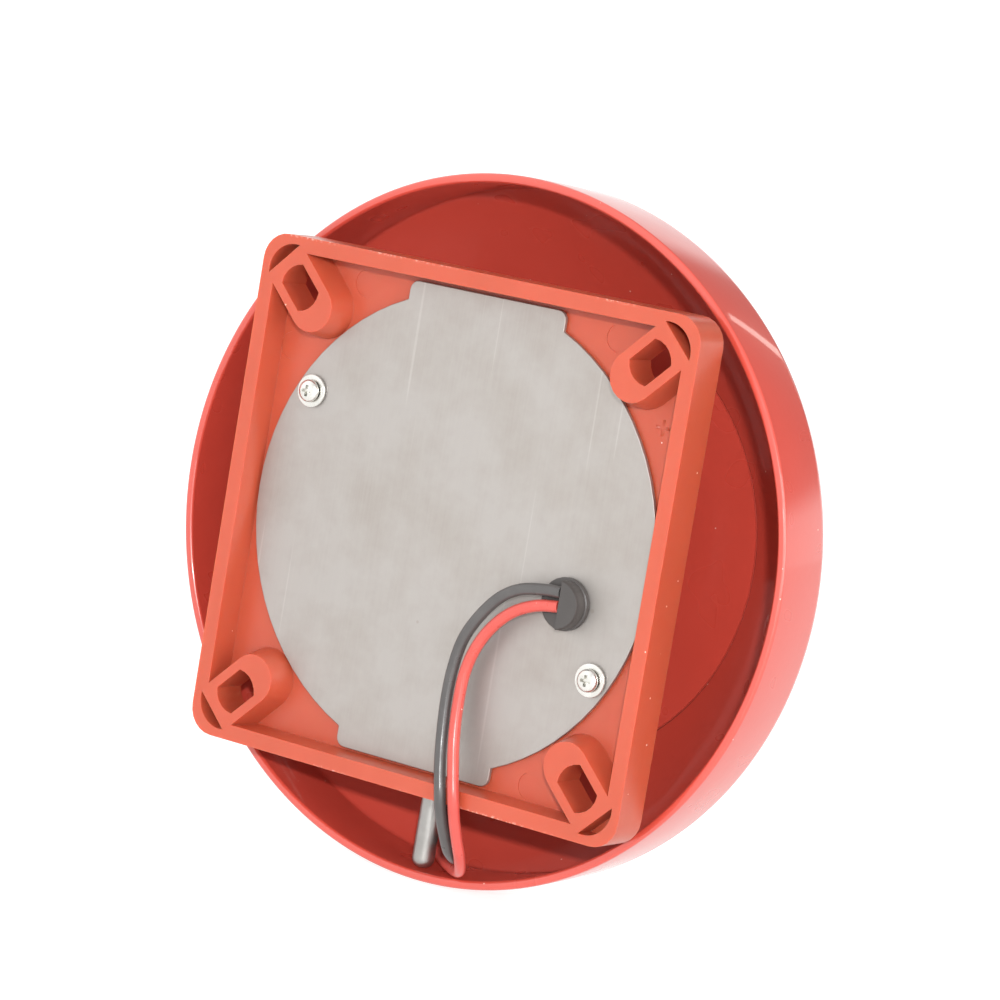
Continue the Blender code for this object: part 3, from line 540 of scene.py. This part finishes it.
# %% Plastics and rubber
def small_plastic(name, light, dark, rough_low, rough_high, grain_mm, depth_mm=0.006,
                  dust_share=0.0, **more):
    finish, tree, shader, where = start_finish(name, Metallic=0.0, **more)
    colour = blend(tree, remap(tree, grain(tree, where, 6.0, 3.0), 0.3, 0.7, 0, 1), light, dark)
    if dust_share:
        dust = specks(tree, where, 1.9, 0.07, dust_share)
        colour = blend(tree, dust, colour, (0.80, 0.76, 0.72))
    connect(tree, colour, shader.inputs["Base Color"])
    fine = grain(tree, where, grain_mm, 3.0)
    connect(tree, remap(tree, fine, 0.3, 0.7, rough_low, rough_high), shader.inputs["Roughness"])
    bump(tree, shader, fine, depth_mm)
    return finish


finishes["black_nylon"] = small_plastic(
    "black_nylon", (0.056, 0.050, 0.047), (0.046, 0.041, 0.039), 0.36, 0.52, 0.5, dust_share=0.02)
finishes["black_pvc"] = small_plastic(
    "black_pvc", (0.080, 0.075, 0.073), (0.064, 0.060, 0.059), 0.27, 0.31, 2.5, 0.0005, 0.07)
finishes["red_pvc"] = small_plastic(
    "red_pvc", (0.54, 0.078, 0.062), (0.48, 0.066, 0.052), 0.27, 0.31, 2.5, 0.0005, 0.03,
    Subsurface_Weight=0.1, Subsurface_Scale=0.0006)
finishes["white_nylon"] = small_plastic("white_nylon", (0.82, 0.80, 0.74), (0.76, 0.73, 0.66), 0.40,
                                        0.55, 0.6)
finishes["rubber"] = small_plastic("rubber", (0.040, 0.038, 0.037), (0.028, 0.027, 0.027), 0.70,
                                   0.85, 0.3, 0.02)
finishes["component_blue"] = small_plastic("component_blue", (0.05, 0.16, 0.45), (0.04, 0.13, 0.38),
                                           0.25, 0.38, 0.8)
finishes["ferrite"] = small_plastic("ferrite", (0.075, 0.074, 0.078), (0.050, 0.050, 0.054), 0.50,
                                    0.70, 0.15, 0.02)
print("plastics and rubber")

# %% [markdown]
# ### Circuit board
#
# Green solder mask over woven glass shows the weave as a fine checker of warp and weft. Two wave
# patterns at right angles, multiplied, give that weave.


# %% Board laminate
def solder_mask():
    finish, tree, shader, where = start_finish("board_laminate", Metallic=0.0, Coat_Weight=0.3,
                                               Coat_Roughness=0.15)
    threads = []
    for direction in ("X", "Z"):
        wave = add_node(tree, "ShaderNodeTexWave",
                        {"Vector": where, "Scale": 300.0, "Distortion": 0.6},
                        bands_direction=direction)
        threads.append(wave.outputs["Fac"])
    weave = math_node(tree, "MULTIPLY", *threads)
    green = blend(tree, remap(tree, weave, 0.1, 0.8, 0, 1), (0.025, 0.16, 0.07),
                  (0.045, 0.23, 0.10))
    connect(tree, green, shader.inputs["Base Color"])
    connect(tree, remap(tree, grain(tree, where, 2.0), 0.3, 0.7, 0.3, 0.45),
            shader.inputs["Roughness"])
    bump(tree, shader, weave, 0.01)
    return finish


finishes["board_laminate"] = solder_mask()
print(len(finishes), "finishes")

# %% [markdown]
# ## Finishes on the mechanical model
#
# The record names a material slot for every piece of the mechanical model, so one loop gives each
# CAD node its finish. Their meshes stay as they are.

# %% Dress the CAD nodes
for subpart in frame["record"]["subparts"]:
    dressed = nodes[subpart["node"]]
    if not dressed.material_slots:
        dressed.data.materials.append(None)
    for material_slot in dressed.material_slots:
        material_slot.material = finishes[subpart["material_slot"]]
for lead, colour in ((lead_black, "black"), (lead_red, "red")):
    lead.data.materials.append(finishes[f"{colour}_pvc"])

# %% [markdown]
# ## Turned pieces
#
# The gong, washers, pads, screws and the striker are all round. By hand one draws half of the
# section as a chain of extruded vertices and spins it once round the axis. A lathe-like Screw
# modifier would do too, but Spin makes the final mesh at once, and its seam and poles are then
# merged and the normals turned outwards.


# %% Lathe
def clear_selection():
    bpy.ops.object.select_all(action="DESELECT")


def finish_piece(piece, finish, body, replaced, smooth_degrees):
    """Smooths the piece, gives it its finish and ties it to the mechanical model."""
    clear_selection()
    piece.select_set(True)
    bpy.context.view_layer.objects.active = piece
    bpy.ops.object.transform_apply(location=True, rotation=True, scale=True)
    bpy.ops.object.shade_smooth_by_angle(angle=math.radians(smooth_degrees))
    piece.data.materials.clear()
    piece.data.materials.append(finish)
    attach(piece, body)
    if replaced:
        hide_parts(replaced)
    print(f"{piece.name}: {len(piece.data.polygons)} faces")
    return piece


def spun(name, section, axis, centre, steps):
    """Spins (radius, height) points about an axis through centre; lengths in metres."""
    along = Vector(axis)
    outward = Vector((1, 0, 0)) if abs(along.x) < 0.5 else Vector((0, 1, 0))
    places = [Vector(centre) + outward * radius + along * height for radius, height in section]
    clear_selection()
    bpy.ops.mesh.primitive_plane_add(size=MM, location=places[0])
    piece = bpy.context.object
    piece.name = name
    bpy.ops.object.mode_set(mode="EDIT")
    bpy.ops.mesh.select_all(action="SELECT")
    bpy.ops.mesh.merge(type="CENTER")
    for here, there in zip(places, places[1:]):
        bpy.ops.mesh.extrude_vertices_move(TRANSFORM_OT_translate={"value": there - here})
    bpy.ops.mesh.select_all(action="SELECT")
    bpy.ops.mesh.spin(steps=steps, angle=2 * math.pi, center=centre, axis=axis)
    bpy.ops.mesh.select_all(action="SELECT")
    bpy.ops.mesh.remove_doubles(threshold=1e-6)
    bpy.ops.mesh.normals_make_consistent(inside=False)
    bpy.ops.object.mode_set(mode="OBJECT")
    return piece


def arc(middle, radius, start, end, steps):
    """Points on an arc between two angles in degrees, both ends included."""
    turns = [math.radians(start + (end - start) * step / steps) for step in range(steps + 1)]
    return [(middle[0] + radius * math.cos(turn),
             middle[1] + radius * math.sin(turn)) for turn in turns]


def rounded_ring(inner, outer, low, high, edge):
    """A ring's section with all four edges rounded, closed on its first point."""
    section = arc((outer - edge, high - edge), edge, 90, 0, 3)
    section += arc((outer - edge, low + edge), edge, 0, -90, 3)
    section += arc((inner + edge, low + edge), edge, -90, -180, 3)
    section += arc((inner + edge, high - edge), edge, 180, 90, 3)
    return section + section[:1]


print("lathe ready")

# %% [markdown]
# ## Gong
#
# The gong is a dished shell two millimetres thick: a short straight skirt, a tight shoulder, a
# shallow dome, and a flat crown that meets the dome in a crease. Its rim is rounded over where
# the press trimmed it. The outer and inner skins are drawn as arcs and spun together.

# %% Gong section
WALL = 2.0 * MM
SKIRT = 15.5 * MM
SHOULDER = 4.0 * MM
CROWN = 50.3 * MM
TAPER = 0.3 * MM
CREASE_SHIFT = 0.4
BORE = 2.9 * MM
RIM_ROUND = 0.75 * MM
SHOULDER_TURN = 40


def dome_arc(start, end, leave_degrees, steps):
    """Points on the arc from start to end that leaves start at an angle off the axis."""
    run = Vector(end) - Vector(start)
    leave = math.radians(leave_degrees)
    turn = 2 * (math.atan2(-run.x, -run.y) - leave)
    radius = run.length / (2 * math.sin(turn / 2))
    points = []
    for step in range(1, steps + 1):
        bend = turn * step / steps
        length = 2 * radius * math.sin(bend / 2)
        heading = leave + bend / 2
        points.append((start[0] - length * math.sin(heading),
                       start[1] - length * math.cos(heading)))
    return points


def skin(offset):
    """One skin of the gong, offset inwards, from the top of the shoulder to the crease."""
    shoulder = (GONG_RADIUS - TAPER - SHOULDER, GONG_RIM - SKIRT)
    points = arc(shoulder, SHOULDER - offset, 0, -SHOULDER_TURN, 8)
    crease = (CROWN - CREASE_SHIFT * offset, gong_low.y + offset)
    return points + dome_arc(points[-1], crease, SHOULDER_TURN, 14)


def crease_groove():
    """The fine line that the forming tool leaves where the crown meets the dome inside."""
    crown_face = gong_low.y + WALL
    crease = CROWN - CREASE_SHIFT * WALL
    return [(crease - 0.42 * MM, crown_face), (crease - 0.36 * MM, crown_face - 0.3 * MM),
            (crease - 0.14 * MM, crown_face - 0.3 * MM), (crease - 0.06 * MM, crown_face)]


rim_height = GONG_RIM - RIM_ROUND
gong_section = arc((GONG_RADIUS - RIM_ROUND, rim_height), RIM_ROUND, 90, 0, 5)
gong_section += skin(0.0)
gong_section += [(CROWN * 0.5, gong_low.y), (BORE, gong_low.y), (BORE, gong_low.y + WALL),
                 (CROWN * 0.5, gong_low.y + WALL)]
gong_section += crease_groove()
gong_section += skin(WALL)[::-1][1:]
gong_section += arc((GONG_RADIUS - WALL + RIM_ROUND, rim_height), RIM_ROUND, 180, 90, 5)
gong_section.append(gong_section[0])
gong = spun("gong_shell", gong_section, (0, 1, 0), (0, 0, 0), 192)
finish_piece(gong, finishes["gong_paint"], "bell_body", "gong", 18)

# %% [markdown]
# ## Back box
#
# The box is a square tray with a deep round chamber, four slotted bosses flush with the rim and a
# sickle pocket in each corner. The mechanical model already holds that shape with sharp edges,
# as loose triangles. A copy of it is merged, its flat areas are dissolved into whole faces, and a
# bevel then rounds every sharp edge as a mould does. Round ejector-pin marks are cut last.


# %% Copy, merge and round a CAD shape
def rounded_copy(node_name, piece_name, width, angle=35, segments=2):
    clear_selection()
    piece = nodes[node_name].copy()
    piece.data = nodes[node_name].data.copy()
    piece.name = piece.data.name = piece_name
    piece.parent = None
    for key in list(piece.keys()):
        del piece[key]
    bpy.context.scene.collection.objects.link(piece)
    piece.select_set(True)
    bpy.context.view_layer.objects.active = piece
    bpy.ops.object.mode_set(mode="EDIT")
    bpy.ops.mesh.select_all(action="SELECT")
    bpy.ops.mesh.remove_doubles(threshold=1e-6)
    bpy.ops.mesh.dissolve_limited(angle_limit=math.radians(0.5))
    bpy.ops.object.mode_set(mode="OBJECT")
    rounding = piece.modifiers.new("rounding", "BEVEL")
    rounding.width = width
    rounding.segments = segments
    rounding.limit_method = "ANGLE"
    rounding.angle_limit = math.radians(angle)
    bpy.ops.object.modifier_apply(modifier=rounding.name)
    return piece


def keep_faces_flat(piece):
    """Lets large faces decide the normals, so that only the narrow bevels look round."""
    weighting = piece.modifiers.new("weighting", "WEIGHTED_NORMAL")
    weighting.keep_sharp = True
    weighting.weight = 80
    clear_selection()
    piece.select_set(True)
    bpy.context.view_layer.objects.active = piece
    bpy.ops.object.modifier_apply(modifier=weighting.name)


EJECTOR_DISCS = ((31.3, 47.1), (-31.9, 46.7), (47.9, 30.8), (-28.9, -47.3))
MOULD_MARK = (-45.6, 30.8)
MARK_DEPTH = 0.14 * MM


def carve(piece, cutter):
    """Cuts the piece with the cutter and removes the cutter."""
    cutting = piece.modifiers.new("cutting", "BOOLEAN")
    cutting.operation = "DIFFERENCE"
    cutting.solver = "EXACT"
    cutting.object = cutter
    clear_selection()
    piece.select_set(True)
    bpy.context.view_layer.objects.active = piece
    bpy.ops.object.modifier_apply(modifier=cutting.name)
    bpy.data.objects.remove(cutter, do_unlink=True)


def mark_mould(piece, floor_height):
    """Shallow round ejector marks and a small cross, cut into the tray's floor."""
    for x, z in EJECTOR_DISCS:
        clear_selection()
        bpy.ops.mesh.primitive_cylinder_add(vertices=40, radius=2.9 * MM, depth=2 * MARK_DEPTH,
                                            location=(x * MM, floor_height, z * MM),
                                            rotation=(math.pi / 2, 0, 0))
        carve(piece, bpy.context.object)
    for turn in (0, math.pi / 2):
        clear_selection()
        bpy.ops.mesh.primitive_cube_add(size=1,
                                        location=(MOULD_MARK[0] * MM, floor_height,
                                                  MOULD_MARK[1] * MM),
                                        rotation=(0, turn, 0))
        bpy.context.object.scale = (3.4 * MM, 3 * MARK_DEPTH, 0.7 * MM)
        carve(piece, bpy.context.object)


back_box = rounded_copy("back_box", "back_box_moulding", 0.3 * MM)
mark_mould(back_box, TRAY_FLOOR)
finish_piece(back_box, finishes["red_abs"], "bell_body", "back_box", 40)
keep_faces_flat(back_box)

# %% [markdown]
# ## Back plate and strain relief
#
# The plate's punched edge is slightly rounded on one side, and the strain relief is a soft-edged
# nylon moulding. Both keep the mechanical model's shape and get the same merge and bevel.

# %% Plate and strain relief
back_plate = rounded_copy("back_plate", "back_plate_sheet", 0.18 * MM)
finish_piece(back_plate, finishes["plate_steel"], "bell_body", "back_plate", 40)
keep_faces_flat(back_plate)
strain_relief = rounded_copy("strain_relief", "strain_relief_moulding", 0.3 * MM)
finish_piece(strain_relief, finishes["black_nylon"], "bell_body", "strain_relief",
             40)
keep_faces_flat(strain_relief)

# %% [markdown]
# ## Plate screws and washers
#
# Two zinc-plated pan-head screws hold the plate, each on a thin flat washer. The head is a low
# dome, spun, and the cross recess is two tapered slots that a Boolean cuts, because a recess of
# that kind is punched by a tapered tool.


# %% Screws
SHANK_SHARE = 0.604
HEIGHT_SHARE = 0.55


def tapered_slot(centre, length, width, depth, turned):
    """A cutter along Y whose lower end is narrower, as the tip of a cross punch is."""
    clear_selection()
    bpy.ops.mesh.primitive_cube_add(size=1, location=centre)
    cutter = bpy.context.object
    size = (width, depth, length) if turned else (length, depth, width)
    bpy.ops.object.mode_set(mode="EDIT")
    bpy.ops.mesh.select_all(action="SELECT")
    bpy.ops.transform.resize(value=size, center_override=centre)
    bpy.ops.object.mode_set(mode="OBJECT")
    for vertex in cutter.data.vertices:
        vertex.select = vertex.co.y < 0
    for edge in cutter.data.edges:
        edge.select = all(cutter.data.vertices[index].co.y < 0 for index in edge.vertices)
    for face in cutter.data.polygons:
        face.select = all(cutter.data.vertices[index].co.y < 0 for index in face.vertices)
    bpy.ops.object.mode_set(mode="EDIT")
    bpy.ops.transform.resize(value=(0.55, 1, 0.55), center_override=centre)
    bpy.ops.object.mode_set(mode="OBJECT")
    return cutter


def pan_head(node_name, piece_name):
    low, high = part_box(node_name)
    middle = ((low.x + high.x) / 2, 0, (low.z + high.z) / 2)
    head = (high.x - low.x) / 2
    shank = head * SHANK_SHARE
    tall = head * HEIGHT_SHARE
    seat = high.y - tall
    edge = head * 0.1
    section = [(0, low.y), (shank * 0.35, low.y), (shank, low.y + 1.2 * MM), (shank, seat),
               (head - edge, seat)]
    section += arc((head - edge, seat + edge), edge, -90, 0, 3)
    section += [(head, seat + tall * 0.42), (head * 0.95, seat + tall * 0.62),
                (head * 0.86, seat + tall * 0.78),
                (head * 0.72, seat + tall * 0.90), (head * 0.55, seat + tall * 0.97),
                (head * 0.3, high.y)]
    screw = spun(piece_name, section + [(0, high.y)], (0, 1, 0), middle, 48)
    for turned in (False, True):
        carve(screw, tapered_slot((middle[0], high.y, middle[2]),
                                  head * 1.3, head * 0.36, tall * 1.4, turned))
    return finish_piece(screw, finishes["zinc_steel"], "bell_body", node_name, 28)


def flat_washer(node_name, piece_name, inner):
    low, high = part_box(node_name)
    middle = ((low.x + high.x) / 2, 0, (low.z + high.z) / 2)
    section = rounded_ring(inner, (high.x - low.x) / 2, low.y, high.y, 0.12 * MM)
    washer = spun(piece_name, section, (0, 1, 0), middle, 56)
    return finish_piece(washer, finishes["zinc_steel"], "bell_body", node_name, 40)


for letter in "ab":
    pan_head(f"plate_screw_{letter}", f"pan_head_screw_{letter}")
    flat_washer(f"plate_washer_{letter}", f"flat_washer_{letter}", 1.75 * MM)

# %% [markdown]
# ## Striker
#
# The striker is a plain turned rod with its tip rounded over, so that it meets the gong without
# marking it. It slides, so it rides on its own body.

# %% Striker rod
rod_low, rod_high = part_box("striker_rod")
rod_radius = (rod_high.x - rod_low.x) / 2
rod_axis = (0, (rod_low.y + rod_high.y) / 2, 0)
TIP_ROUND = 2.0 * MM
rod_section = [(0, rod_low.z)] + arc((rod_radius - TIP_ROUND, rod_low.z + TIP_ROUND), TIP_ROUND,
                                     -90, 0, 8)
rod_section += [(rod_radius, rod_high.z - 0.3 * MM), (rod_radius - 0.3 * MM, rod_high.z),
                (0, rod_high.z)]
striker = spun("striker_plunger", rod_section, (0, 0, 1), rod_axis, 56)
finish_piece(striker, finishes["striker_steel"], "striker", "striker_rod", 30)

# %% [markdown]
# ## Gong fixing
#
# On the front a hexagon bolt with a washer and a rubber pad holds the gong. The hexagon starts as
# a six-sided cylinder, and its top corners are turned away by a cone, as on every real bolt head.


# %% Bolt, washer and pads
def hexagon_bolt():
    low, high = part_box("gong_bolt")
    shank = 2.5 * MM
    head_top = low.y + 3.5 * MM
    across_corners = (high.x - low.x) / 2
    clear_selection()
    bpy.ops.mesh.primitive_cylinder_add(vertices=6, radius=across_corners, depth=head_top - low.y,
                                        location=(0, (head_top + low.y) / 2, 0),
                                        rotation=(math.pi / 2, 0, math.pi / 6))
    head = bpy.context.object
    head.name = "gong_bolt_hexagon"
    bpy.ops.object.transform_apply(location=True, rotation=True, scale=True)
    cone_section = [(0, low.y), (across_corners * 0.83, low.y),
                    (across_corners * 1.25, low.y + 1.3 * MM),
                    (across_corners * 1.25, head_top + MM), (0, head_top + MM)]
    cone = spun("turning_cone", cone_section, (0, 1, 0), (0, 0, 0), 64)
    shared = head.modifiers.new("turned_corners", "BOOLEAN")
    shared.operation = "INTERSECT"
    shared.solver = "EXACT"
    shared.object = cone
    clear_selection()
    head.select_set(True)
    bpy.context.view_layer.objects.active = head
    bpy.ops.object.modifier_apply(modifier=shared.name)
    bpy.data.objects.remove(cone, do_unlink=True)
    shank_section = [(0, head_top - MM), (shank, head_top - MM), (shank, high.y - 0.5 * MM),
                     (shank - 0.5 * MM, high.y), (0, high.y)]
    stem = spun("stem", shank_section, (0, 1, 0), (0, 0, 0), 32)
    joined = head.modifiers.new("stem", "BOOLEAN")
    joined.operation = "UNION"
    joined.solver = "EXACT"
    joined.object = stem
    clear_selection()
    head.select_set(True)
    bpy.context.view_layer.objects.active = head
    bpy.ops.object.modifier_apply(modifier=joined.name)
    bpy.data.objects.remove(stem, do_unlink=True)
    return finish_piece(head, finishes["zinc_steel"], "bell_body", "gong_bolt", 28)


hexagon_bolt()
for node_name, piece_name, edge_mm in (("gong_washer", "gong_fixing_washer", 0.2),
                                       ("gong_pad_front", "front_rubber_pad", 0.3),
                                       ("gong_pad_rear", "rear_rubber_pad", 0.25)):
    low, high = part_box(node_name)
    slot_name = "zinc_steel" if "washer" in node_name else "rubber"
    ring = spun(piece_name, rounded_ring(BORE, high.x, low.y, high.y, edge_mm * MM), (0, 1, 0),
                (0, 0, 0), 64)
    finish_piece(ring, finishes[slot_name], "bell_body", node_name, 40)

# %% [markdown]
# ## Last update
#
# Blender updates bounding boxes only when the view layer is evaluated, so the view layer is
# evaluated last.

# %% Evaluate the view layer
bpy.context.view_layer.update()
